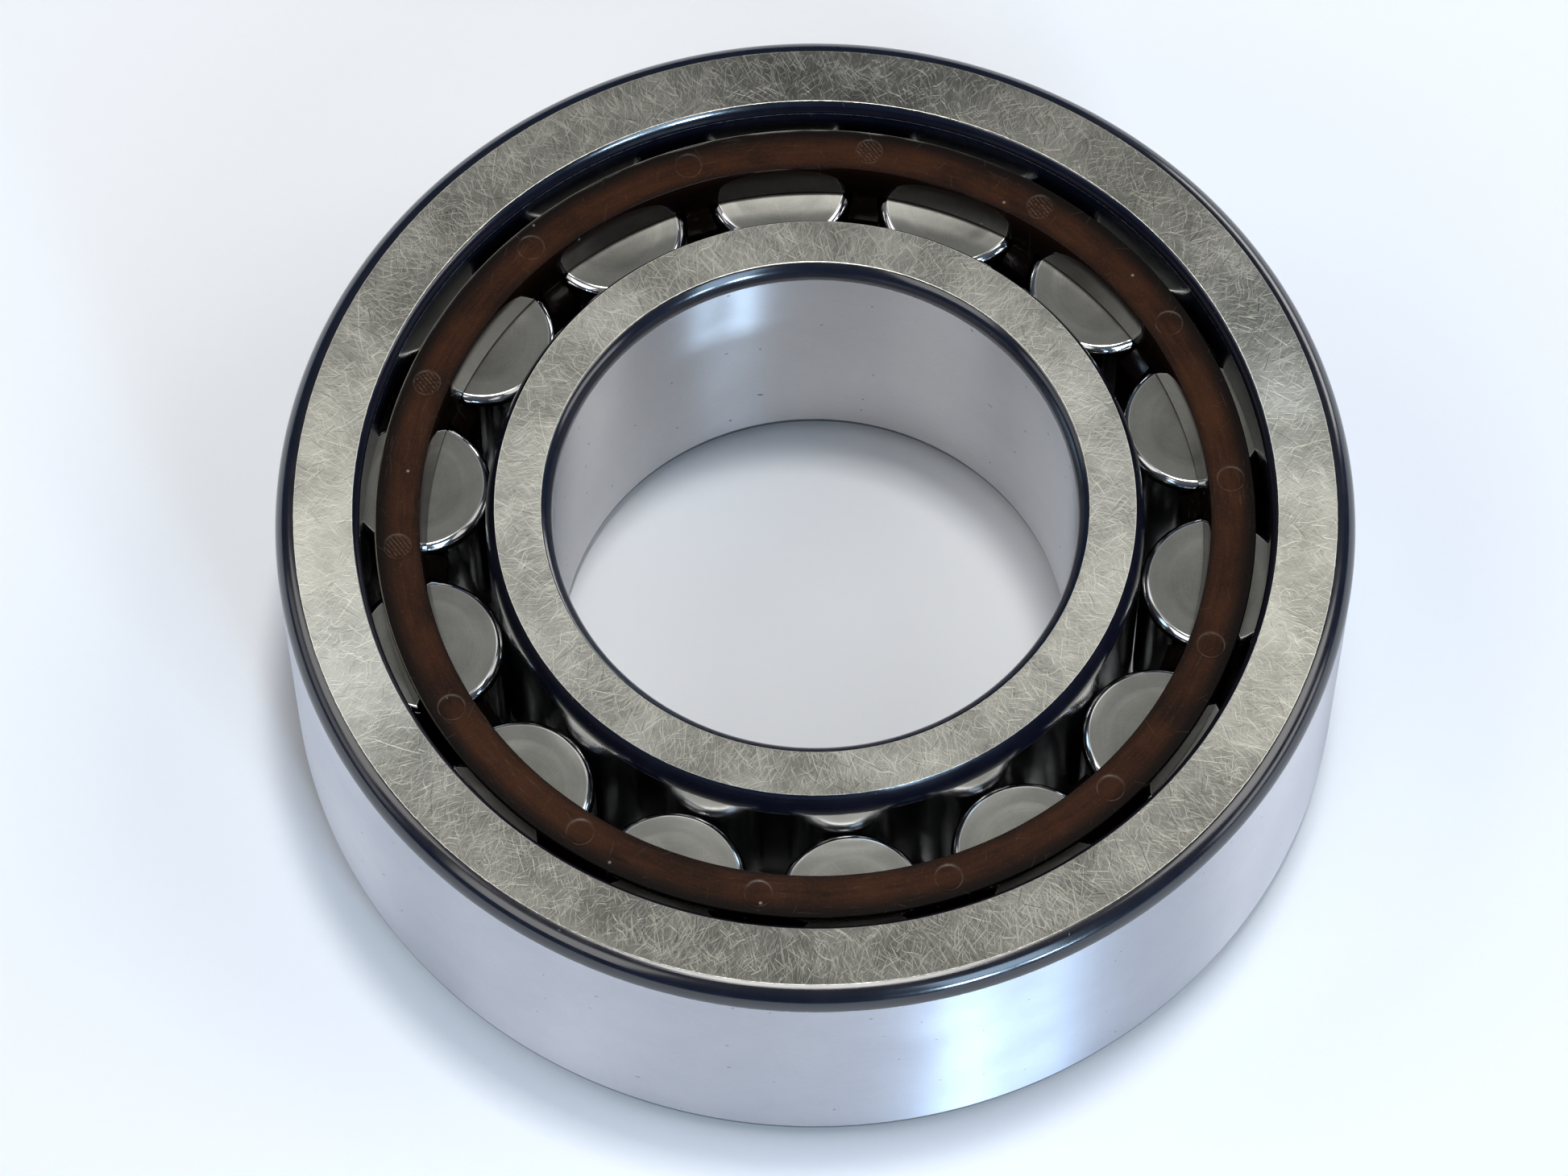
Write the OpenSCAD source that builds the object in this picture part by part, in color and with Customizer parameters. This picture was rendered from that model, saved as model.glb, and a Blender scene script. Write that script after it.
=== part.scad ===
// Cylindrical roller bearing with two fixed flanges on the outer ring, a plain
// inner ring and a moulded window cage. Lengths are in millimetres.
// The bearing's axis is Z and the origin is at its centre.

/* [Boundary sizes] */
// Bore of the inner ring
bore_d = 35; // [33:0.5:36]
// Outside diameter of the outer ring
outside_d = 72; // [71:0.5:78]
// Width of both rings
width = 23; // [22:0.5:26]

/* [Raceways] */
// Diameter of the inner ring's raceway
inner_race_d = 44; // [43.6:0.1:44]
// Radial gap between a centred roller and each raceway
race_gap = 0.03; // [0.02:0.01:0.05]
// Diameter inside the outer ring's flanges
flange_bore_d = 60.7; // [60.2:0.1:61]
// Axial gap between a centred roller's end and each flange
end_gap = 0.05; // [0.03:0.01:0.1]

/* [Rollers] */
// Diameter of a roller
roller_d = 10; // [9.8:0.1:10]
// Length of a roller
roller_length = 14; // [13:0.5:14]
// Radial size of the rounded edge at a roller's end
roller_edge = 0.5; // [0.3:0.1:0.6]
// Axial size of the rounded edge at a roller's end
roller_edge_drop = 0.7; // [0.6:0.1:1]

/* [Cage] */
// Outside diameter of the cage
cage_d = 58.8; // [58:0.1:59.4]
// Inside diameter of a side ring at its outer face
ring_mouth_d = 52.8; // [52.4:0.1:53.4]
// Inside diameter of a side ring where it meets the rollers
ring_throat_d = 52; // [51.2:0.1:52.2]
// Inside diameter of the bars
bar_inner_d = 49.6; // [49:0.1:50]
// Depth of the cage's outer face below the ring faces
cage_inset = 1.5; // [1:0.1:2]
// Radial gap between a roller and its pocket
pocket_gap = 0.2; // [0.15:0.05:0.35]
// Axial gap between a roller's end and its pocket
pocket_end_gap = 0.2; // [0.15:0.05:0.4]
// Height of the slope between a bar and its side ring
bar_slope = 1.2; // [0.5:0.1:2]
// How far below a pocket's end the side ring's wall runs before the slope
throat_drop = 0.3; // [0.1:0.1:0.6]
// Diameter of an ejector mark on the cage
mark_d = 1.8; // [1.2:0.1:2]
// Depth of an ejector mark
mark_depth = 0.1; // [0.05:0.05:0.3]

/* [Edges] */
// Radial size of the outer ring's outside edge
outside_edge = 1.3; // [1:0.1:1.4]
// Axial size of the outer ring's outside edge
outside_edge_drop = 1.5; // [1.2:0.1:1.6]
// Radial size of the edge at a flange's bore
flange_edge = 0.45; // [0.3:0.05:0.5]
// Axial size of the edge at a flange's bore
flange_edge_drop = 1; // [0.8:0.1:1.1]
// Radial size of the edge at the inner ring's bore
bore_edge = 0.75; // [0.6:0.05:0.85]
// Axial size of the edge at the inner ring's bore
bore_edge_drop = 1.27; // [1.1:0.01:1.3]
// Radial size of the inner ring's lead-in edge
lead_in = 0.65; // [0.4:0.05:0.7]
// Axial size of the inner ring's lead-in edge
lead_in_drop = 1.8; // [1.6:0.1:2]

/* [Hidden] */
$fn = 90;
rollers = 14;
roller_step = 360 / rollers;
roller_r = roller_d / 2;
inner_race_r = inner_race_d / 2;
pitch_r = inner_race_r + race_gap + roller_r;
outer_race_r = pitch_r + roller_r + race_gap;
flange_bore_r = flange_bore_d / 2;
outside_r = outside_d / 2;
bore_r = bore_d / 2;
half_width = width / 2;
half_roller = roller_length / 2;
half_channel = half_roller + end_gap;
half_pocket = half_roller + pocket_end_gap;
half_cage = half_width - cage_inset;
cage_r = cage_d / 2;
mouth_r = ring_mouth_d / 2;
throat_r = ring_throat_d / 2;
bar_inner_r = bar_inner_d / 2;
pocket_r = roller_r + pocket_gap;
mark_ring_r = (cage_r + mouth_r) / 2;
over = 1;
bleed = 0.02;
curve_ease = 1.05;
steel = [0.62, 0.62, 0.6];
polished_steel = [0.7, 0.7, 0.7];
moulding = [0.2, 0.11, 0.07];

// Radius that leaves a corner's longer side smoothly and meets its shorter side at an angle
function corner_curve(edge, drop) =
    curve_ease * (edge * edge + drop * drop) / (2 * min(edge, drop));

// Centre of the circle of radius r through p and q, to the right of the line from p to q
function arc_centre(p, q, r) =
    let (d = q - p)
    let (len = norm(d))
    let (rise = sqrt(r * r - len * len / 4))
    (p + q) / 2 + [d[1], -d[0]] / len * rise;

// What is cut off one corner, for a corner whose waste lies towards larger x and y
module corner_waste(edge, drop) {
    curve = corner_curve(edge, drop);
    difference() {
        translate([-edge - bleed, -drop - bleed]) square([edge + bleed + over, drop + bleed + over]);
        translate(arc_centre([-edge, 0], [0, -drop], curve)) circle(r = curve);
    }
}

// The same thing at the top and bottom of a section
module both_ends() {
    children();
    mirror([0, 1]) children();
}

module outer_ring_section() {
    difference() {
        translate([flange_bore_r, -half_width]) square([outside_r - flange_bore_r, width]);
        translate([flange_bore_r - over, -half_channel])
            square([outer_race_r - flange_bore_r + over, 2 * half_channel]);
        both_ends() translate([outside_r, half_width])
            corner_waste(outside_edge, outside_edge_drop);
        both_ends() translate([flange_bore_r, half_width]) mirror([1, 0])
            corner_waste(flange_edge, flange_edge_drop);
    }
}

module inner_ring_section() {
    difference() {
        translate([bore_r, -half_width]) square([inner_race_r - bore_r, width]);
        both_ends() translate([inner_race_r, half_width])
            corner_waste(lead_in, lead_in_drop);
        both_ends() translate([bore_r, half_width]) mirror([1, 0])
            corner_waste(bore_edge, bore_edge_drop);
    }
}

module roller_section() {
    difference() {
        translate([0, -half_roller]) square([roller_r, roller_length]);
        both_ends() translate([roller_r, half_roller])
            corner_waste(roller_edge, roller_edge_drop);
    }
}

module cage_section() {
    throat_z = half_pocket - throat_drop;
    slope_z = throat_z - bar_slope;
    polygon([
        [cage_r, -half_cage],
        [cage_r, half_cage],
        [mouth_r, half_cage],
        [throat_r, throat_z],
        [bar_inner_r, slope_z],
        [bar_inner_r, -slope_z],
        [throat_r, -throat_z],
        [mouth_r, -half_cage]
    ]);
}

// One pocket, open outwards so that the outer raceway holds the roller in
module pocket() {
    translate([pitch_r, 0, -half_pocket]) cylinder(r = pocket_r, h = 2 * half_pocket);
    translate([pitch_r, -pocket_r, -half_pocket])
        cube([cage_r - pitch_r + over, 2 * pocket_r, 2 * half_pocket]);
}

module ejector_mark() {
    translate([mark_ring_r, 0, half_cage - mark_depth])
        cylinder(d = mark_d, h = mark_depth + over);
}

module roller(index) {
    color(polished_steel) rotate([0, 0, index * roller_step])
        translate([pitch_r, 0, 0]) rotate_extrude() roller_section();
}

module outer_ring() {
    color(steel) rotate_extrude() outer_ring_section();
}

module inner_ring() {
    color(steel) rotate_extrude() inner_ring_section();
}

module cage() {
    color(moulding) difference() {
        rotate_extrude() cage_section();
        for (i = [0 : rollers - 1]) {
            rotate([0, 0, i * roller_step]) pocket();
            rotate([0, 0, (i + 0.5) * roller_step]) ejector_mark();
        }
    }
}

module roller_01() { roller(0); }
module roller_02() { roller(1); }
module roller_03() { roller(2); }
module roller_04() { roller(3); }
module roller_05() { roller(4); }
module roller_06() { roller(5); }
module roller_07() { roller(6); }
module roller_08() { roller(7); }
module roller_09() { roller(8); }
module roller_10() { roller(9); }
module roller_11() { roller(10); }
module roller_12() { roller(11); }
module roller_13() { roller(12); }
module roller_14() { roller(13); }

outer_ring();
inner_ring();
cage();
roller_01();
roller_02();
roller_03();
roller_04();
roller_05();
roller_06();
roller_07();
roller_08();
roller_09();
roller_10();
roller_11();
roller_12();
roller_13();
roller_14();
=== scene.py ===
import bpy, math, random
from mathutils import Matrix, Vector


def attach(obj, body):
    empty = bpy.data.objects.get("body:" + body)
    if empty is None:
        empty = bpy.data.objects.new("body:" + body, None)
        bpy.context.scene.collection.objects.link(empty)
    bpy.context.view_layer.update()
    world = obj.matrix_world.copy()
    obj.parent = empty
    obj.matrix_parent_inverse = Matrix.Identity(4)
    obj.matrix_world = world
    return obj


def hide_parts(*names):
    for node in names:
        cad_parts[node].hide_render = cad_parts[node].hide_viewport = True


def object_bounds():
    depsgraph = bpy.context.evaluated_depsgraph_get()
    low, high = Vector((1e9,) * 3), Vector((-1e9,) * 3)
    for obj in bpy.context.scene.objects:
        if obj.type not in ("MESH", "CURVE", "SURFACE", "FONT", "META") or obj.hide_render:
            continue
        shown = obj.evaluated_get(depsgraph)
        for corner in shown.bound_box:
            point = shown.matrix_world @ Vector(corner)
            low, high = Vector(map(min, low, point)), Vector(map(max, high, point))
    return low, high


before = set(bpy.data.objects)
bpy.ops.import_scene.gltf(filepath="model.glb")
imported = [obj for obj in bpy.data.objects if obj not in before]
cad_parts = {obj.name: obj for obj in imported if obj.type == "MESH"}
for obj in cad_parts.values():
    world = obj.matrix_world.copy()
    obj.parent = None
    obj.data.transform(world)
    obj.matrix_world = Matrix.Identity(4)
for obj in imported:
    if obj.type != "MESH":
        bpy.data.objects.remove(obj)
cad_box = [list(c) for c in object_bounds()]

MM = 0.001                     # lengths below are in millimetres, except where the comment says metres
ROLLERS = 14
STEP = 2 * math.pi / ROLLERS   # angle from one roller to the next
PITCH = 27.03                  # radius of the circle through the rollers' centres
HALF_WIDTH = 11.5              # of both rings
OUTER_R, LIP_R, TRACK_R = 36, 30.35, 32.06     # outer ring: outside, flange bore and raceway radii
BORE_R, RACE_R = 17.5, 22                      # inner ring: bore and raceway radii
ROLLER_R, ROLLER_HALF = 5, 7
CAGE_R, CAGE_TOP = 29.4, 10.0
MARK_PITCH, MARK_RADIUS = 27.9, 0.9            # the cage's round moulding marks
LAMP_REACH = 2.2                               # metres from the centre to each lamp
PHASE = math.radians(7.3)                      # how far the view is turned about the axis from -Y
FLASH_AT = PHASE + math.radians(140)           # where the cage's flash is thickest
rng = random.Random(7)


# ---------------------------------------------------------------- mesh tools

def corner(p, q, inside, n=12):
    """Points of the rounded edge from p to q, bulging away from the point inside."""
    edge, drop = abs(q[0] - p[0]), abs(q[1] - p[1])
    easing = 1.05              # above 1 it leaves a faint break at the ends, as on a tumbled edge
    r = easing * (edge * edge + drop * drop) / (2 * min(edge, drop))
    mx, my = (p[0] + q[0]) / 2, (p[1] + q[1]) / 2
    dx, dy = q[0] - p[0], q[1] - p[1]
    length = math.hypot(dx, dy)
    rise = math.sqrt(r * r - length * length / 4) / length
    centres = [(mx + s * dy * rise, my - s * dx * rise) for s in (1, -1)]
    cx, cy = min(centres, key=lambda c: math.dist(c, inside))
    a0 = math.atan2(p[1] - cy, p[0] - cx)
    a1 = math.atan2(q[1] - cy, q[0] - cx)
    a1 = a0 + (a1 - a0 + math.pi) % (2 * math.pi) - math.pi
    turns = [a0 + (a1 - a0) * i / n for i in range(n + 1)]
    return [(cx + r * math.cos(a), cy + r * math.sin(a)) for a in turns]


def dense(p, q):
    """The straight run from p to q, with extra points near both ends."""
    length = math.dist(p, q)
    cuts = [0.03, 0.07, 0.13, 0.22, 0.4, 0.8, 1.6, 3.2]
    near = [c for c in cuts if c < length / 2]
    at = sorted({0, length, *near, *(length - c for c in near)})
    return [(p[0] + (q[0] - p[0]) * s / length, p[1] + (q[1] - p[1]) * s / length) for s in at]


SOFT_JOINT = math.radians(50)
FAR_FROM_EDGE = 9.0


def lathe(name, zones, mats, segs, shift=None):
    """A closed or axis-to-axis section turned about Z. zones is [(points, material index)].
    shift(r, z, angle) may move a point along Z. The edge attribute is the distance to the zone's end.
    Where two zones meet at under SOFT_JOINT the shading is smooth, so a thin worn edge catches the light."""
    rows, edge, sharp, slots, heading = [], [], [], [], []
    for pts, slot in zones:
        run = [0.0]
        for a, b in zip(pts, pts[1:]):
            run.append(run[-1] + math.dist(a, b))
        for i, (pt, s) in enumerate(zip(pts[:-1], run)):
            rows.append(pt)
            edge.append(min(s, run[-1] - s))
            sharp.append(i == 0)
            slots.append(slot)
        heading.append([math.atan2(b[1] - a[1], b[0] - a[0]) for a, b in (pts[:2], pts[-2:])])
    closed = math.dist(zones[-1][0][-1], rows[0]) < 1e-6
    if not closed:
        rows.append(zones[-1][0][-1])
        edge.append(0.0)
        sharp.append(False)
    starts = [i for i, first in enumerate(sharp) if first]
    for k, i in enumerate(starts):
        bend = heading[k][0] - heading[k - 1][1]
        sharp[i] = abs((bend + math.pi) % (2 * math.pi) - math.pi) > SOFT_JOINT
    verts, dist, ids = [], [], []
    for (r, z), e in zip(rows, edge):
        if r < 1e-6:
            ids.append([len(verts)] * segs)
            verts.append((0, 0, z * MM))
            dist.append(FAR_FROM_EDGE)
            continue
        ids.append(list(range(len(verts), len(verts) + segs)))
        for k in range(segs):
            a = 2 * math.pi * k / segs
            dz = shift(r, z, a) if shift else 0
            verts.append((r * MM * math.cos(a), r * MM * math.sin(a), (z + dz) * MM))
            dist.append(e)
    faces, index, hard = [], [], set()
    count = len(rows)
    for i in range(count if closed else count - 1):
        j = (i + 1) % count
        for k in range(segs):
            m = (k + 1) % segs
            quad = [ids[i][k], ids[i][m], ids[j][m], ids[j][k]]
            quad = list(dict.fromkeys(quad))
            if len(quad) > 2:
                faces.append(quad)
                index.append(slots[i])
        if sharp[i] and len(set(ids[i])) > 1:
            for k in range(segs):
                hard.add(tuple(sorted((ids[i][k], ids[i][(k + 1) % segs]))))
    return build(name, verts, faces, mats, index, {"edge": dist}, hard)


def build(name, verts, faces, mats, index=None, values=None, hard=()):
    """A smooth-shaded mesh object with material slots, named point values and sharp edges."""
    mesh = bpy.data.meshes.new(name)
    mesh.from_pydata(verts, [], faces)
    for m in mats:
        mesh.materials.append(m)
    if index:
        mesh.polygons.foreach_set("material_index", index)
    mesh.polygons.foreach_set("use_smooth", [True] * len(faces))
    for key, data in (values or {}).items():
        mesh.attributes.new(key, "FLOAT", "POINT").data.foreach_set("value", data)
    mesh.update()
    volume = 0.0               # signed, so a negative one means that the normals point inwards
    for f in faces:
        a = Vector(verts[f[0]])
        for i in range(1, len(f) - 1):
            volume += a.dot(Vector(verts[f[i]]).cross(Vector(verts[f[i + 1]])))
    if volume < 0:
        mesh.flip_normals()
    if hard:
        for e in mesh.edges:
            if tuple(sorted(e.vertices)) in hard:
                e.use_edge_sharp = True
    obj = bpy.data.objects.new(name, mesh)
    bpy.context.scene.collection.objects.link(obj)
    return obj


# ------------------------------------------------------------ material tools

class Mat:
    """A Principled material and the few node calls that the finishes below need."""

    LEAN_SPREAD = 2.2          # radians between the extreme directions of leaning scratches

    def __init__(self, name):
        self.m = bpy.data.materials.new(name)
        self.m.use_nodes = True
        self.t = self.m.node_tree
        self.t.nodes.clear()
        out = self.node("ShaderNodeOutputMaterial")
        self.b = self.node("ShaderNodeBsdfPrincipled")     # p, below, is the place on the object in mm
        self.t.links.new(self.b.outputs[0], out.inputs[0])
        self.p = self.vmath("SCALE", self.node("ShaderNodeTexCoord").outputs["Object"], scale=1 / MM)

    def node(self, kind, **props):
        n = self.t.nodes.new(kind)
        for k, v in props.items():
            setattr(n, k, v)
        return n

    def put(self, socket, value):
        """Links the value when it is a node's output, and otherwise sets it. None leaves the default."""
        if hasattr(value, "links"):
            self.t.links.new(value, socket)
        elif value is not None:
            socket.default_value = value

    def set(self, **inputs):
        """Inputs of the Principled shader by name, with _ for each space."""
        for k, v in inputs.items():
            self.put(self.b.inputs[k.replace("_", " ")], v)

    def vmath(self, op, a, b=None, scale=None):
        n = self.node("ShaderNodeVectorMath", operation=op)
        self.put(n.inputs[0], a)
        self.put(n.inputs[1], b)
        if scale is not None:
            self.put(n.inputs[3], scale)
        return n.outputs["Value" if op == "LENGTH" else "Vector"]

    def math(self, op, a, b=None):
        n = self.node("ShaderNodeMath", operation=op)
        self.put(n.inputs[0], a)
        self.put(n.inputs[1], b)
        return n.outputs[0]

    def add(self, a, b): return self.math("ADD", a, b)
    def sub(self, a, b): return self.math("SUBTRACT", a, b)
    def mul(self, a, b): return self.math("MULTIPLY", a, b)
    def abs(self, a): return self.math("ABSOLUTE", a)

    def top(self, *values):
        """The highest of the values."""
        best = values[0]
        for v in values[1:]:
            best = self.math("MAXIMUM", best, v)
        return best

    def fade(self, v, lo, hi, a=0.0, b=1.0):
        """a below lo, b above hi, smooth between; lo may be above hi."""
        n = self.node("ShaderNodeMapRange", interpolation_type="SMOOTHSTEP")
        if lo > hi:
            lo, hi, a, b = hi, lo, b, a
        for s, x in zip(n.inputs, (v, lo, hi, a, b)):
            self.put(s, x)
        return n.outputs[0]

    def split(self, v):
        return self.node_out("ShaderNodeSeparateXYZ", v)

    def node_out(self, kind, *inputs, **props):
        """All outputs of a new node whose first sockets get the inputs."""
        n = self.node(kind, **props)
        for s, x in zip(n.inputs, inputs):
            self.put(s, x)
        return list(n.outputs)

    def join(self, x, y, z=0.0):
        return self.node_out("ShaderNodeCombineXYZ", x, y, z)[0]

    def noise(self, v, scale=1.0, detail=2.0, rough=0.5, warp=0.0):
        n = self.node("ShaderNodeTexNoise")
        inputs = {"Vector": v, "Scale": scale, "Detail": detail, "Roughness": rough, "Distortion": warp}
        for k, x in inputs.items():
            self.put(n.inputs[k], x)
        return n.outputs[0]

    def cells(self, v, flat=True):
        """Distance to the nearest point of a random grid, its colour and its place."""
        n = self.node("ShaderNodeTexVoronoi", voronoi_dimensions="2D" if flat else "3D")
        self.put(n.inputs["Vector"], v)
        n.inputs["Scale"].default_value = 1.0
        return n.outputs["Distance"], n.outputs["Color"], n.outputs["Position"]

    def mix(self, f, a, b):
        n = self.node("ShaderNodeMix", data_type="RGBA")
        self.put(n.inputs[0], f)
        for s, x in ((n.inputs[6], a), (n.inputs[7], b)):
            self.put(s, (*x, 1) if isinstance(x, tuple) else x)
        return n.outputs[2]

    def value(self, name):
        """One of the mesh's named point values."""
        return self.node("ShaderNodeAttribute", attribute_name=name).outputs["Fac"]

    def bump(self, height, depth, strength=1.0):
        """A bump that is depth millimetres deep."""
        n = self.node("ShaderNodeBump")
        self.put(n.inputs["Strength"], strength)
        self.put(n.inputs["Distance"], depth * MM)
        self.put(n.inputs["Height"], height)
        return n.outputs[0]

    def stretched(self, v, angle, along, across):
        """v turned by angle in plan, then scaled so that noise runs in long streaks."""
        n = self.node("ShaderNodeMapping")
        self.put(n.inputs["Vector"], v)
        n.inputs["Rotation"].default_value = (0, 0, math.radians(angle))
        return self.vmath("MULTIPLY", n.outputs[0], (along, across, 1.0))

    def strokes(self, v, cell, width, length, seed, share, hook=False, lean=None):
        """Straight scratches, or hooked ones, one to a cell of a random grid, each with its own direction.
        share is how many cells have one, and lean a direction in radians that they keep near."""
        q = self.vmath("ADD", self.vmath("SCALE", v, scale=1 / cell), (seed * 3.17, seed * 1.31, 0.0))
        _, colour, centre = self.cells(q)
        d = self.vmath("SCALE", self.vmath("SUBTRACT", q, centre), scale=cell)
        dx, dy, _ = self.split(d)
        r, g, b = self.node_out("ShaderNodeSeparateColor", colour)
        if lean is None:
            turn, sag = self.mul(r, 2 * math.pi), 0.04
        else:
            turn, sag = self.add(lean, self.mul(self.sub(r, 0.5), self.LEAN_SPREAD)), 0.01
        c, s = self.math("COSINE", turn), self.math("SINE", turn)
        along = self.add(self.mul(dx, c), self.mul(dy, s))
        across = self.sub(self.mul(dy, c), self.mul(dx, s))
        if hook:
            radius = self.fade(g, 0, 1, length * 0.35, length)
            far = self.vmath("LENGTH", d)
            off = self.abs(self.sub(far, radius))
            part = self.fade(self.math("DIVIDE", along, self.add(far, 0.001)), -0.3, 0.2)
        else:
            off = self.abs(self.add(across, self.mul(self.mul(along, along), sag)))
            reach = self.fade(g, 0, 1, length * 0.3, length)
            part = self.fade(self.sub(self.abs(along), reach), -0.3 * length, 0.0, 1.0, 0.0)
        line = self.fade(off, width * 0.25, width, 1.0, 0.0)
        return self.mul(self.mul(line, part), self.fade(b, 1 - share, 1 - share + 0.4))


def polar(m):
    """Radius and angle about Z, and height."""
    x, y, z = m.split(m.p)
    radius = m.vmath("LENGTH", m.join(x, y))
    return radius, m.math("ARCTAN2", y, x), z


def ground_face(name, around, rough0, lay, base, bright):
    """A ring's ground face, around millimetres in radius. Its marks cross the face in arcs, lighter metal
    with painted glints, and a painted highlight runs along its edges.
    lay says how strictly the grinding lines keep to one direction."""
    m = Mat(name)
    x, y, _ = m.split(m.p)
    flat = m.join(x, y)
    radius, angle, _ = polar(m)
    turn = m.mul(angle, around)
    patch = m.noise(flat, 0.14, 3, 0.6)
    sweep = m.add(radius, m.mul(patch, 5.0))       # the grinding lines wander with the patches
    grain = 0.0
    for skew, along, across in ((-1.1, 0.25, 9), (-0.3, 0.22, 11), (0.3, 0.22, 10), (1.2, 0.25, 9)):
        over = m.add(turn, m.mul(sweep, skew))
        lines = m.join(m.mul(over, across), m.mul(radius, along * (1 + abs(skew))))
        grain = m.top(grain, m.noise(lines, 1.0, 3, 0.75))
    marks = m.mul(m.fade(grain, 0.60, 0.66), 0.9)
    for seed, cell, width in ((1, 0.8, 0.03), (2, 1.5, 0.035), (3, 3.4, 0.04)):
        marks = m.top(marks, m.strokes(flat, cell, width, cell, seed, 0.8, lean=angle))
    marks = m.top(marks, m.mul(m.strokes(flat, 1.9, 0.05, 1.3, 9, 0.6, hook=True), 0.7))
    scores = m.strokes(flat, 1.1, 0.035, 1.2, 5, 0.8, lean=angle)      # dark, where marks are bright
    edge = m.value("edge")
    # mask of the painted highlight along the face's edges
    rim = m.fade(m.add(edge, m.mul(m.noise(m.p, 0.9, 3), 0.05)), 0.07, 0.03)
    shade = m.add(m.mul(m.fade(grain, 0.50, 0.68), 0.55), m.mul(m.fade(patch, 0.35, 0.65), 0.45))
    colour = m.mix(shade, base, bright)
    # scratches: partly lighter bare metal, partly a painted glint in a cream tint where they catch the light
    colour = m.mix(m.mul(marks, 0.50), colour, (0.88, 0.85, 0.71))
    colour = m.mix(m.mul(m.top(scores, m.fade(grain, 0.50, 0.45)), 0.6), colour, (0.08, 0.08, 0.07))
    # painted highlight: a pale line along the face's edges, where the rounded edge catches the light
    colour = m.mix(m.mul(rim, 0.8), colour, (0.86, 0.84, 0.74))
    rough = m.sub(m.add(rough0, m.mul(m.sub(patch, 0.5), 0.16)), m.mul(m.top(marks, rim), 0.05))
    height = m.add(m.mul(grain, 0.6), m.mul(marks, -0.6))
    tangent = m.node("ShaderNodeTangent", direction_type="RADIAL", axis="Z").outputs[0]
    m.set(Base_Color=colour, Metallic=1.0, Roughness=rough, Anisotropic=lay, Tangent=tangent,
          Normal=m.bump(height, 0.006))
    return m.m


def black_edge():
    """The rings' rounded edges: turned, hardened and left black, bare where they wear."""
    m = Mat("black_edge")
    radius, angle, z = polar(m)
    edge = m.value("edge")
    mottle = m.noise(m.p, 0.5, 4, 0.6)
    turned = m.noise(m.join(m.mul(angle, 3.0), m.mul(radius, 9.0), m.mul(z, 9.0)), 1.0, 2)
    bare = m.fade(m.add(edge, m.mul(m.noise(m.p, 2.2, 4, 0.7), 0.10)), 0.075, 0.045)
    chips = m.mul(m.fade(m.noise(m.p, 1.7, 5, 0.75), 0.70, 0.73), 0.4)
    colour = m.mix(mottle, (0.002, 0.0025, 0.007), (0.008, 0.009, 0.016))
    colour = m.mix(m.top(bare, chips), colour, (0.80, 0.78, 0.70))
    rough = m.add(m.add(0.10, m.mul(mottle, 0.12)), m.mul(bare, 0.15))
    m.set(Base_Color=colour, Metallic=m.top(bare, chips), Roughness=rough, IOR=1.75,
          Normal=m.bump(m.add(turned, m.mul(mottle, 0.5)), 0.004))
    return m.m


def ground_wall(name, around, base, bright, rough0, pits):
    """The ground round wall of a ring, around millimetres in radius, with grinding lines along the turn."""
    m = Mat(name)
    _, angle, z = polar(m)
    wall = m.join(m.mul(angle, around), z)
    x, y, _ = m.split(m.p)
    lines = m.noise(m.join(m.mul(x, 0.4), m.mul(y, 0.4), m.mul(z, 34.0)), 1.0, 3, 0.7)
    fine = m.noise(m.join(m.mul(x, 1.5), m.mul(y, 1.5), m.mul(z, 9.0)), 1.0, 3, 0.7)
    cloud = m.noise(m.p, 0.10, 4, 0.6)
    spread = m.vmath("SCALE", wall, scale=0.3)
    dirt, tone, _ = m.cells(m.vmath("ADD", spread, m.join(m.mul(cloud, 2.0), cloud)))
    few = m.fade(m.node_out("ShaderNodeSeparateColor", tone)[0], 0.68, 0.70)
    pit = m.mul(m.mul(m.fade(dirt, 0.04, 0.012), few), pits)
    nick = m.top(m.strokes(wall, 5.5, 0.045, 1.2, 11, 0.12), m.strokes(wall, 11.0, 0.05, 3.0, 12, 0.15))
    shade = m.add(m.mul(lines, 0.15), m.add(m.mul(fine, 0.30), m.mul(cloud, 0.55)))
    colour = m.mix(m.fade(shade, 0.25, 0.75), base, bright)
    colour = m.mix(m.mul(nick, 0.35), colour, (0.85, 0.85, 0.86))
    colour = m.mix(pit, colour, (0.05, 0.05, 0.055))
    edge = m.value("edge")
    rim = m.fade(m.add(edge, m.mul(m.noise(m.p, 1.4, 3), 0.06)), 0.09, 0.03)
    colour = m.mix(m.mul(rim, 0.5), colour, (0.16, 0.16, 0.18))
    rough = m.add(m.add(rough0, m.mul(m.fade(cloud, 0.35, 0.65), 0.05)), m.mul(pit, 0.3))
    tangent = m.node("ShaderNodeTangent", direction_type="RADIAL", axis="Z").outputs[0]
    m.set(Base_Color=colour, Metallic=1.0, Roughness=rough, Anisotropic=1.0, Anisotropic_Rotation=0.25,
          Tangent=tangent, Normal=m.bump(m.sub(m.mul(lines, 0.6), m.mul(m.top(nick, pit), 0.8)), 0.0006))
    return m.m


def polished_race():
    """The raceways and the flanges' inner walls."""
    m = Mat("polished_race")
    x, y, z = m.split(m.p)
    lines = m.noise(m.join(m.mul(x, 0.08), m.mul(y, 0.08), m.mul(z, 16.0)), 1.0, 3, 0.6)
    cloud = m.noise(m.p, 0.2, 3)
    colour = m.mix(m.add(m.mul(lines, 0.5), m.mul(cloud, 0.5)), (0.36, 0.36, 0.37), (0.55, 0.55, 0.55))
    m.set(Base_Color=colour, Metallic=1.0, Roughness=m.add(0.10, m.mul(cloud, 0.08)),
          Normal=m.bump(lines, 0.0015))
    return m.m


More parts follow.
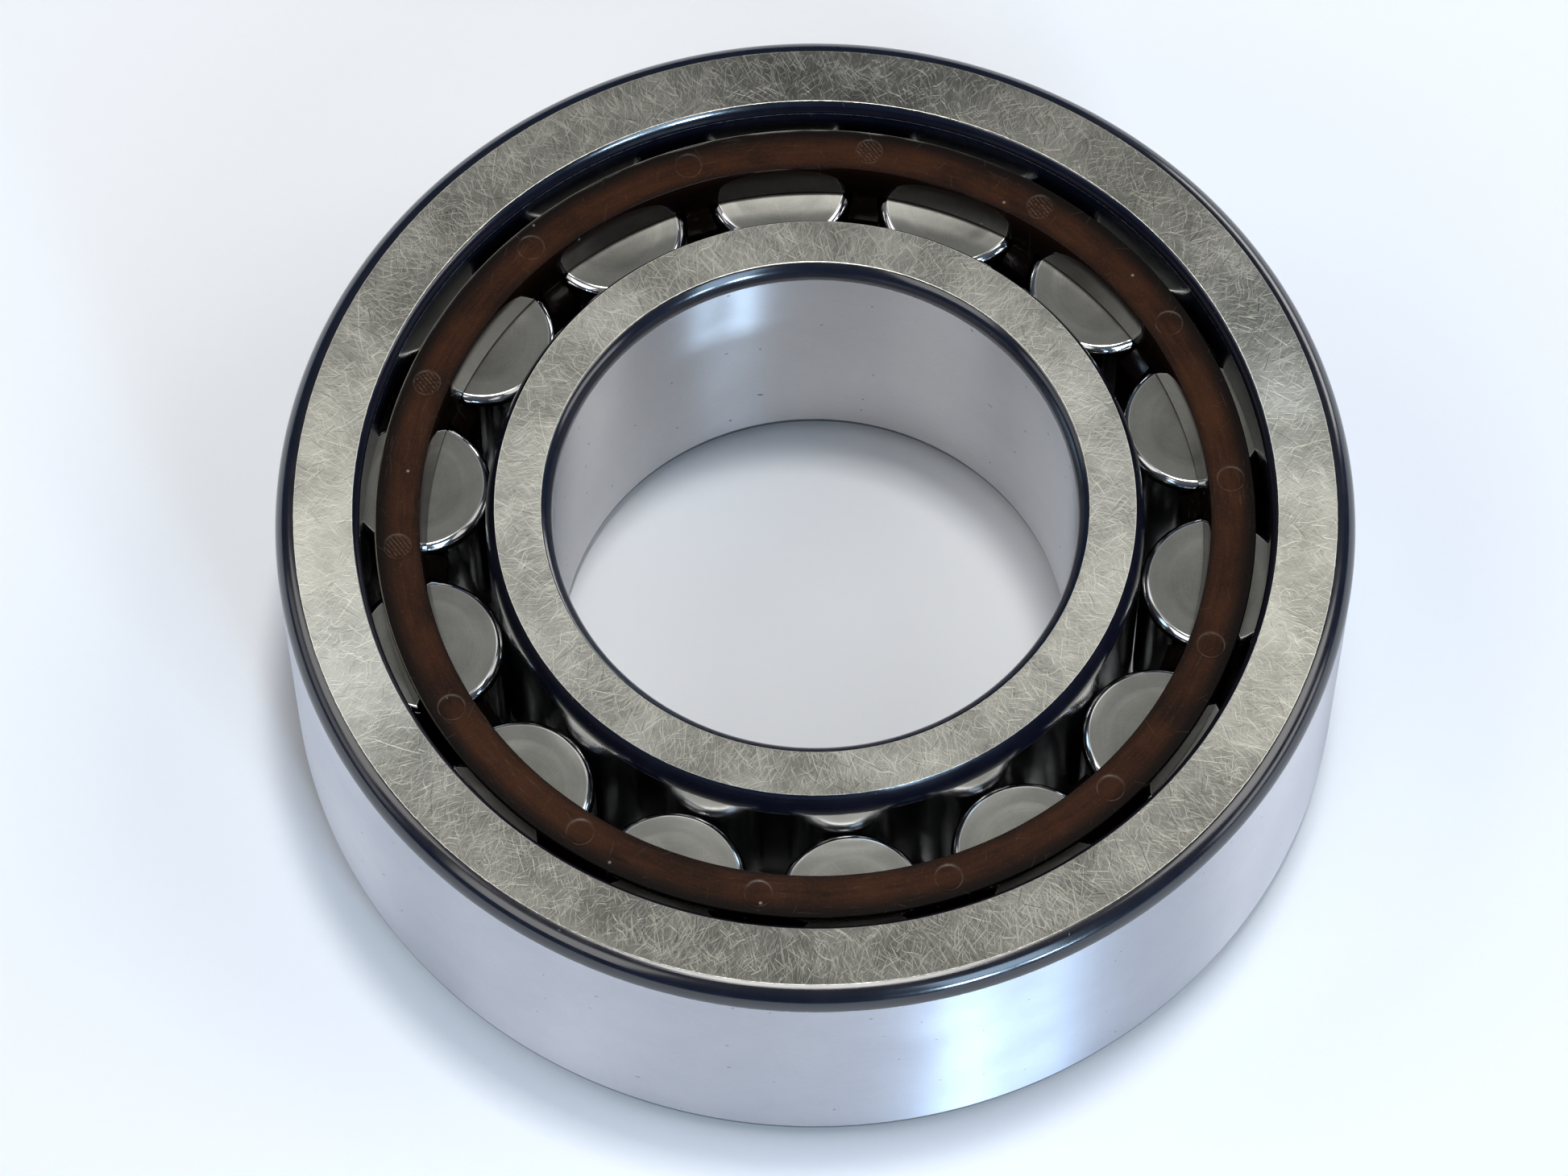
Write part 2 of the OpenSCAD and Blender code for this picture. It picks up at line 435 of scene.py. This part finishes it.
def roller_end():
    """A roller's ground end: faint rings, crossing lines and a painted highlight along its rim."""
    m = Mat("roller_end")
    radius, angle, _ = polar(m)
    x, y, _ = m.split(m.p)
    flat = m.join(x, y)
    out, side = m.mul(radius, 13.0), m.mul(m.math("SINE", angle), 0.8)
    rings = m.noise(m.join(out, side, m.mul(m.math("COSINE", angle), 0.8)), 1.0, 3, 0.7)
    cross = m.top(m.noise(m.stretched(flat, 15, 1.0, 9), 1.0, 3, 0.7),
                  m.noise(m.stretched(flat, 98, 1.2, 8), 1.0, 3, 0.7))
    marks = m.top(m.strokes(flat, 1.6, 0.03, 0.8, 21, 0.4), m.strokes(flat, 2.9, 0.035, 1.3, 22, 0.4))
    cloud = m.noise(m.p, 0.35, 3)
    outer = m.fade(m.add(radius, m.mul(cloud, 0.3)), 3.05, 3.3)
    shade = m.add(m.mul(rings, 0.25), m.add(m.mul(cross, 0.45), m.mul(cloud, 0.3)))
    colour = m.mix(m.fade(shade, 0.35, 0.75), (0.35, 0.35, 0.32), (0.50, 0.495, 0.46))
    colour = m.mix(m.mul(outer, 0.15), colour, (0.62, 0.62, 0.60))
    colour = m.mix(m.mul(marks, 0.3), colour, (0.74, 0.72, 0.66))
    edge = m.value("edge")
    # painted highlight: a near-white line along the end's rim, where the rounded rim catches the light
    rim = m.fade(edge, 0.09, 0.02)
    colour = m.mix(m.mul(m.mul(rim, m.fade(radius, 4.2, 4.3)), 0.8), colour, (0.88, 0.88, 0.86))
    m.set(Base_Color=colour, Metallic=1.0, Roughness=m.add(0.26, m.mul(cloud, 0.06)),
          Normal=m.bump(m.add(m.mul(cross, 0.5), m.mul(marks, -0.6)), 0.0004))
    return m.m


def roller_side():
    """A roller's polished side, with the finest of lines along the turn."""
    m = Mat("roller_side")
    x, y, z = m.split(m.p)
    lines = m.noise(m.join(m.mul(x, 0.25), m.mul(y, 0.25), m.mul(z, 18.0)), 1.0, 3, 0.6)
    cloud = m.noise(m.p, 0.4, 3)
    colour = m.mix(m.add(m.mul(lines, 0.5), m.mul(cloud, 0.5)), (0.52, 0.52, 0.53), (0.68, 0.68, 0.68))
    m.set(Base_Color=colour, Metallic=1.0, Roughness=m.add(0.07, m.mul(cloud, 0.07)),
          Normal=m.bump(lines, 0.001))
    return m.m


def moulding():
    """The cage's brown glass-filled plastic: cloudy, fibrous, with moulding marks, and painted shade that
    darkens it at its inner wall, over the bars and at its outer edge.
    """
    m = Mat("glass_filled_polyamide")
    x, y, z = m.split(m.p)
    flat = m.join(x, y)
    radius, angle, _ = polar(m)
    cloud = m.noise(m.p, 0.22, 4, 0.6)
    fine = m.noise(m.p, 5.0, 3, 0.7)
    flow = m.noise(m.join(m.mul(angle, 9.0), m.mul(radius, 3.2), m.mul(z, 1.5)), 1.0, 4, 0.65, 0.3)
    fibres = m.top(m.strokes(flat, 1.3, 0.035, 0.6, 31, 0.5), m.strokes(flat, 2.1, 0.04, 1.0, 32, 0.5))
    dust, _, _ = m.cells(m.vmath("SCALE", m.p, scale=0.45), flat=False)
    top = m.fade(z, 9.85, 9.9)
    number = m.math("FLOOR", m.mul(angle, 1 / STEP))
    turn = m.sub(angle, m.mul(m.add(number, 0.5), STEP))
    ahead = m.sub(m.mul(radius, m.math("COSINE", turn)), MARK_PITCH)
    across = m.join(ahead, m.mul(radius, m.math("SINE", turn)))
    off = m.vmath("LENGTH", across)
    chance = m.node("ShaderNodeTexWhiteNoise", noise_dimensions="1D")
    m.put(chance.inputs["W"], number)
    hatch = m.abs(m.math("SINE", m.mul(m.add(x, y), 9.0)))
    hatch = m.mul(m.mul(m.fade(hatch, 0.6, 1.0), m.fade(fine, 0.4, 0.6)),
                  m.mul(m.fade(off, 0.86, 0.8), m.fade(chance.outputs["Value"], 0.6, 0.65)))
    ring = m.mul(m.fade(m.abs(m.sub(off, MARK_RADIUS)), 0.07, 0.02),
                 m.fade(m.noise(m.p, 0.9, 2), 0.35, 0.65, 0.1, 1.0))
    mark = m.mul(m.top(m.mul(hatch, 0.30), m.mul(ring, 0.28)), top)
    flash = m.mul(m.fade(m.abs(m.sub(radius, CAGE_R - 0.04)), 0.06, 0.02),
                  m.fade(m.math("COSINE", m.sub(angle, FLASH_AT)), 0.1, 0.8))
    streak = m.mul(m.fade(m.noise(m.join(m.mul(angle, 14.0), m.mul(radius, 6.0)), 1.0, 4, 0.7), 0.55, 0.75),
                   m.fade(m.noise(m.p, 0.09, 2), 0.5, 0.65))
    # painted shade: the brown fades towards near black inwards from 27.1 mm and outwards from 27.9 mm, so the
    # throat, the bars and the outer edge by the gap are dark as in shade
    body = m.mul(m.fade(radius, 26.1, 27.1), m.fade(radius, 29.2, 27.9))
    tone = m.mul(m.fade(m.add(m.mul(cloud, 0.6), m.mul(flow, 0.4)), 0.2, 0.7), body)
    colour = m.mix(tone, (0.0038, 0.0022, 0.0018), (0.046, 0.0160, 0.0066))
    colour = m.mix(m.mul(m.mul(m.fade(fine, 0.5, 0.8), body), 0.25), colour, (0.060, 0.028, 0.016))
    colour = m.mix(m.top(m.mul(fibres, 0.12), mark, m.mul(streak, 0.22)), colour, (0.17, 0.13, 0.095))
    colour = m.mix(m.mul(m.fade(dust, 0.065, 0.03), 0.35), colour, (0.45, 0.42, 0.38))
    colour = m.mix(m.mul(m.mul(flash, top), 0.6), colour, (0.40, 0.36, 0.27))
    rough = m.sub(m.add(0.20, m.mul(fine, 0.12)), m.mul(m.fade(m.abs(z), 9.98, 9.9), 0.20))
    height = m.add(m.add(m.mul(fine, 0.3), m.mul(flow, 0.3)), m.mul(m.top(fibres, mark), 0.4))
    gloss = m.fade(radius, 26.3, 26.5, 1.6, 1.33)     # the inner wall shines more than the top
    m.set(Base_Color=colour, Roughness=rough, IOR=gloss, Normal=m.bump(height, 0.003))
    return m.m


def paper():
    """The floor: pale paper with a little grain."""
    m = Mat("paper")
    grain = m.noise(m.p, 1.4, 5, 0.7)
    slow = m.noise(m.p, 0.012, 2)
    colour = m.mix(m.add(m.mul(grain, 0.3), m.mul(slow, 0.7)), (0.79, 0.81, 0.85), (0.85, 0.87, 0.91))
    m.set(Base_Color=colour, Roughness=0.85, Normal=m.bump(grain, 0.02, 0.4))
    return m.m


OUTER_FACE = ground_face("ground_outer_face", 33.0, 0.41, 0.85, (0.23, 0.23, 0.205), (0.55, 0.54, 0.485))
INNER_FACE = ground_face("ground_inner_face", 20.0, 0.48, 0.45, (0.24, 0.24, 0.215), (0.58, 0.57, 0.515))
EDGE = black_edge()
# painted reflection: the outside's colours are tinted blue for the bluish window and room that it reflects
OUTSIDE = ground_wall("ground_outside", 36.0, (0.48, 0.50, 0.56), (0.60, 0.62, 0.68), 0.37, 0.5)
BORE = ground_wall("ground_bore", 17.5, (0.47, 0.47, 0.485), (0.58, 0.58, 0.60), 0.33, 0.8)
RACE = polished_race()
END, SIDE = roller_end(), roller_side()
CAGE = moulding()


# ------------------------------------------------------------------- pieces

def outer_ring():
    """The section runs outwards over the top face, down the outside and back up through the raceway."""
    face, edge, wall, track = range(4)
    face_in, face_out = LIP_R + 0.45, OUTER_R - 1.3     # where the rounded edges start on the faces
    side, lip = HALF_WIDTH - 1.5, HALF_WIDTH - 1        # and where they end on the walls
    flange = ROLLER_HALF + 0.05
    inside, low = (33.3, 10.0), (33.3, -10.0)
    zones = [
        (dense((face_in, HALF_WIDTH), (face_out, HALF_WIDTH)), face),
        (corner((face_out, HALF_WIDTH), (OUTER_R, side), inside), edge),
        (dense((OUTER_R, side), (OUTER_R, -side)), wall),
        (corner((OUTER_R, -side), (face_out, -HALF_WIDTH), low), edge),
        (dense((face_out, -HALF_WIDTH), (face_in, -HALF_WIDTH)), face),
        (corner((face_in, -HALF_WIDTH), (LIP_R, -lip), low), edge),
        (dense((LIP_R, -lip), (LIP_R, -flange)), edge),
        (dense((LIP_R, -flange), (TRACK_R, -flange)), track),
        (dense((TRACK_R, -flange), (TRACK_R, flange)), track),
        (dense((TRACK_R, flange), (LIP_R, flange)), track),
        (dense((LIP_R, flange), (LIP_R, lip)), edge),
        (corner((LIP_R, lip), (face_in, HALF_WIDTH), inside), edge),
    ]
    ring = lathe("outer_ring_body", zones, [OUTER_FACE, EDGE, OUTSIDE, RACE], 720)
    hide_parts("outer_ring")
    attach(ring, "outer_ring")


def inner_ring():
    """The section runs outwards over the top face, down the raceway and back up through the bore."""
    face, edge, wall, track = range(4)
    face_in, face_out = BORE_R + 0.75, RACE_R - 0.65
    shoulder, mouth = HALF_WIDTH - 1.8, HALF_WIDTH - 1.27
    inside, low = (19.8, 9.5), (19.8, -9.5)
    zones = [
        (dense((face_in, HALF_WIDTH), (face_out, HALF_WIDTH)), face),
        (corner((face_out, HALF_WIDTH), (RACE_R, shoulder), inside, 16), edge),
        (dense((RACE_R, shoulder), (RACE_R, -shoulder)), track),
        (corner((RACE_R, -shoulder), (face_out, -HALF_WIDTH), low, 16), edge),
        (dense((face_out, -HALF_WIDTH), (face_in, -HALF_WIDTH)), face),
        (corner((face_in, -HALF_WIDTH), (BORE_R, -mouth), low), edge),
        (dense((BORE_R, -mouth), (BORE_R, mouth)), wall),
        (corner((BORE_R, mouth), (face_in, HALF_WIDTH), inside), edge),
    ]
    ring = lathe("inner_ring_body", zones, [INNER_FACE, EDGE, BORE, RACE], 540)
    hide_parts("inner_ring")
    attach(ring, "inner_ring")


def roller(number):
    """A roller with a shallow dish in each end, turned by a random angle so that no two look alike."""
    end, side = range(2)
    flat, wall = ROLLER_R - 0.5, ROLLER_HALF - 0.7      # where the rounded rim starts and ends
    dish = [(r, ROLLER_HALF - deep) for r, deep in ((0, 0.03), (1.2, 0.03), (2.4, 0.028), (3.0, 0.015))]
    brim = (3.4, ROLLER_HALF)
    rim = corner((flat, ROLLER_HALF), (ROLLER_R, wall), (3, 5))
    top = dish + dense(brim, (flat, ROLLER_HALF))
    bottom = dense((flat, -ROLLER_HALF), (brim[0], -ROLLER_HALF)) + [(r, -z) for r, z in reversed(dish)]
    zones = [
        (top, end),
        (rim, side),
        (dense((ROLLER_R, wall), (ROLLER_R, -wall)), side),
        ([(r, -z) for r, z in reversed(rim)], side),
        (bottom, end),
    ]
    piece = lathe("roller_%02d_body" % (number + 1), zones, [END, SIDE], 160)
    angle = number * STEP
    piece.location = (PITCH * MM * math.cos(angle), PITCH * MM * math.sin(angle), 0)
    piece.rotation_euler = (0, 0, rng.uniform(0, 2 * math.pi))
    name = "roller_%02d" % (number + 1)
    bpy.context.view_layer.update()
    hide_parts(name)
    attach(piece, name)


def side_rings():
    """The cage's two side rings. Only the upper one's top face has the moulding marks and the flash."""
    marks = [(MARK_PITCH * math.cos((k + 0.5) * STEP), MARK_PITCH * math.sin((k + 0.5) * STEP))
             for k in range(ROLLERS)]
    ripple = [(rng.uniform(0, 6.28), rng.randint(20, 90), rng.uniform(0.2, 1)) for _ in range(9)]
    flash_r, mouth_r = CAGE_R - 0.07, 26.43

    def relief(r, z, a):
        if z < 9.5:
            return 0
        d = math.dist((r * math.cos(a), r * math.sin(a)), marks[int(a / STEP) % ROLLERS])
        step = min(max((d - MARK_RADIUS + 0.08) / 0.16, 0), 1)
        lip = math.exp(-((d - MARK_RADIUS - 0.12) / 0.09) ** 2) * 0.006
        wave = sum(w * math.sin(a * n + p) for p, n, w in ripple) / 5
        thick = 0.055 * max(0, math.cos(a - FLASH_AT)) * max(0.25, 0.7 + wave)
        return thick * max(0, 1 - abs(r - flash_r) / 0.06) + lip - 0.03 * (1 - step)

    n = 32
    face = [(flash_r - (flash_r - mouth_r) * i / n, CAGE_TOP) for i in range(n + 1)]
    outer = [(CAGE_R, 7.2), (CAGE_R, 8.4), (CAGE_R, 9.6), (CAGE_R, 9.9), (CAGE_R - 0.02, 9.96)]
    throat = [(26.41, 9.98), (26.393, 9.94), (26.25, 8.8), (26.1, 7.66), (26.045, 7.23), (26.07, 7.2)]
    under = [(26.07, 7.2), (27.5, 7.2), (CAGE_R, 7.2)]
    upper = [(outer + face + throat, 0), (under, 0)]
    lower = [([(r, -z) for r, z in pts], slot) for pts, slot in upper]
    return lathe("cage_top", upper, [CAGE], 1400, relief), lathe("cage_bottom", lower, [CAGE], 360)


def bar_plan(inner, pocket=5.2):
    """Half of a bar's plan, from the middle of its inner face round to the middle of its outer face.
    inner is the inner face's radius, and pocket that of the round pockets on both sides."""
    half = STEP / 2
    reach = math.acos((PITCH ** 2 + pocket ** 2 - inner ** 2) / (2 * PITCH * pocket))
    ux, uy = math.cos(half), math.sin(half)

    def at(out, aside):
        return (PITCH + out) * ux + aside * uy, (PITCH + out) * uy - aside * ux

    turns = [reach + (math.pi / 2 - reach) * i / 14 for i in range(15)]
    side = [at(-pocket * math.cos(t), pocket * math.sin(t)) for t in turns]
    straight = math.sqrt(CAGE_R ** 2 - pocket ** 2) - PITCH
    side += [at(straight * i / 4, pocket) for i in range(1, 5)]
    a_in = math.atan2(side[0][1], side[0][0])
    a_out = math.atan2(side[-1][1], side[-1][0])
    inner_arc = [(inner * math.cos(a_in * i / 5), inner * math.sin(a_in * i / 5)) for i in range(5)]
    outer_turns = [a_out * (1 - i / 5) for i in range(1, 6)]
    return inner_arc + side + [(CAGE_R * math.cos(a), CAGE_R * math.sin(a)) for a in outer_turns]


def bars():
    """The bars between the pockets, lofted through their plan at each height.
    slope is [(height, inner radius)] up from mid-width: straight, then outwards to the side ring's throat."""
    verts, faces = [], []
    slope = [(0, 24.8), (5.6, 24.8), (5.8, 24.88), (6.8, 25.92), (7.0, 26.02), (7.3, 26.06)]
    levels = [(-z, r) for z, r in reversed(slope[1:])] + slope
    for k in range(ROLLERS):
        turn = (k + 0.5) * STEP
        c, s = math.cos(turn), math.sin(turn)
        loops = []
        for z, inner in levels:
            right = bar_plan(inner)
            loop = [(x, -y) for x, y in right] + [(x, y) for x, y in reversed(right[1:-1])]
            start = len(verts)
            verts += [((x * c - y * s) * MM, (x * s + y * c) * MM, z * MM) for x, y in loop]
            loops.append(list(range(start, start + len(loop))))
        for low, high in zip(loops, loops[1:]):
            for i in range(len(low)):
                j = (i + 1) % len(low)
                faces.append([low[i], low[j], high[j], high[i]])
        faces.append(list(reversed(loops[0])))
        faces.append(loops[-1])
    return build("cage_bars", verts, faces, [CAGE])


def cage():
    top, bottom = side_rings()
    bpy.ops.object.select_all(action="DESELECT")
    for o in (top, bottom, bars()):
        o.select_set(True)
    bpy.context.view_layer.objects.active = top
    bpy.ops.object.join()
    top.name = top.data.name = "cage_moulding"
    top.data.set_sharp_from_angle(angle=math.radians(35))
    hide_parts("cage")
    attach(top, "cage")


# -------------------------------------------------------- stage, light, view

def stage():
    """The floor, a hair below the rings so that the two never share a plane."""
    size, n = 1.6, 40
    z = cad_box[0][2] - 0.02 * MM
    verts = [((i / n - 0.5) * size, (j / n - 0.5) * size, z) for j in range(n + 1) for i in range(n + 1)]
    row = n + 1
    faces = [[j * row + i, j * row + i + 1, (j + 1) * row + i + 1, (j + 1) * row + i]
             for j in range(n) for i in range(n)]
    mesh = bpy.data.meshes.new("floor")
    mesh.from_pydata(verts, [], faces)
    mesh.materials.append(paper())
    obj = bpy.data.objects.new("floor", mesh)
    bpy.context.scene.collection.objects.link(obj)


def lamp(name, azimuth, elevation, width, height, power, colour=(1.0, 0.99, 0.96), on=None):
    """A soft box LAMP_REACH away; its sides and watts are those of one 1 m away that lights the centre alike.
    azimuth is measured from the picture's right, anticlockwise as seen from above.
    on may limit it to "glossy" reflection or to "diffuse" light."""
    a, e = math.radians(azimuth) + PHASE, math.radians(elevation)
    way = Vector((math.cos(a) * math.cos(e), math.sin(a) * math.cos(e), math.sin(e)))
    light = bpy.data.lights.new(name, "AREA")
    light.shape = "RECTANGLE"
    light.size, light.size_y = width * LAMP_REACH, height * LAMP_REACH
    light.energy, light.color = power * LAMP_REACH ** 2, colour
    obj = bpy.data.objects.new(name, light)
    bpy.context.scene.collection.objects.link(obj)
    obj.visible_glossy, obj.visible_diffuse = on != "diffuse", on != "glossy"
    obj.location = way * LAMP_REACH
    obj.rotation_mode = "QUATERNION"
    obj.rotation_quaternion = (-way).to_track_quat("-Z", "Y")


def lights():
    """A window low on the near right, pale walls, an even light overhead, and a bluish room."""
    sky = (0.54, 0.76, 1.0)
    lamp("window_pane_left", -66, 12, 0.10, 0.06, 3.0, sky)
    lamp("window_pane_right", -53, 12, 0.11, 0.06, 1.6, sky)
    lamp("window_above", -60, 32, 0.30, 0.45, 2.5, sky)
    lamp("overhead", -90, 84, 0.40, 0.40, 4.9, on="glossy")
    lamp("overhead_far", 62, 82, 0.12, 0.12, 4.4, on="diffuse")
    lamp("wall_left", 170, 50, 0.50, 0.50, 1.7)
    lamp("wall_right", 5, 50, 0.50, 0.50, 2.2)
    lamp("wall_far_right", 50, 14, 0.50, 0.25, 1.8)
    lamp("wall_near_left", 225, 38, 0.50, 0.50, 1.7)
    lamp("wall_left_low", 180, 20, 0.60, 0.30, 0.5)
    lamp("wall_right_low", -8, 14, 0.50, 0.25, 0.9)
    world = bpy.data.worlds.new("room")
    bpy.context.scene.world = world
    world.use_nodes = True
    t = world.node_tree
    t.nodes.clear()
    out = t.nodes.new("ShaderNodeOutputWorld")
    back = t.nodes.new("ShaderNodeBackground")
    coord = t.nodes.new("ShaderNodeTexCoord")
    split = t.nodes.new("ShaderNodeSeparateXYZ")
    ramp = t.nodes.new("ShaderNodeValToRGB")
    t.links.new(coord.outputs["Generated"], split.inputs[0])
    t.links.new(split.outputs["Z"], ramp.inputs[0])
    t.links.new(ramp.outputs[0], back.inputs[0])
    t.links.new(back.outputs[0], out.inputs[0])
    stops = ramp.color_ramp.elements               # the horizon and below, 20 degrees up, and straight above
    stops[0].position, stops[0].color = 0.0, (0.035, 0.08, 0.20, 1)
    stops[1].position, stops[1].color = 1.0, (0.17, 0.17, 0.165, 1)
    stops.new(0.35).color = (0.05, 0.07, 0.11, 1)
    back.inputs["Strength"].default_value = 1.0


def camera():
    """The view: its lift above the floor, its distance in metres from the top face's centre, and how far
    aside and below that centre it aims."""
    lift, roll, distance = math.radians(63.32), math.radians(-0.331), 0.45306
    aside, below = math.radians(0.263), math.radians(0.720)
    aim = Vector((math.tan(aside), math.tan(below), -1)).normalized()
    s, c = math.sin(lift), math.cos(lift)
    axes = Matrix(((1, 0, 0), (0, s, c), (0, -c, s)))
    tilt = Vector((0, 0, -1)).rotation_difference(aim).to_matrix()
    to_camera = tilt @ Matrix.Rotation(roll, 3, "Z") @ axes
    turn = Matrix.Rotation(PHASE, 3, "Z")
    cam = bpy.data.cameras.new("camera")
    cam.sensor_width, cam.lens = 36, 156.43
    cam.clip_start, cam.clip_end = 0.01, 10
    obj = bpy.data.objects.new("camera", cam)
    bpy.context.scene.collection.objects.link(obj)
    place = (turn @ to_camera.transposed()).to_4x4()
    place.translation = turn @ Vector((0, -c, s)) * distance + Vector((0, 0, cad_box[1][2]))
    obj.matrix_world = place
    bpy.context.scene.camera = obj


bpy.context.scene.view_settings.view_transform = "Standard"
camera()
lights()
stage()
outer_ring()
inner_ring()
for number in range(ROLLERS):
    roller(number)
cage()
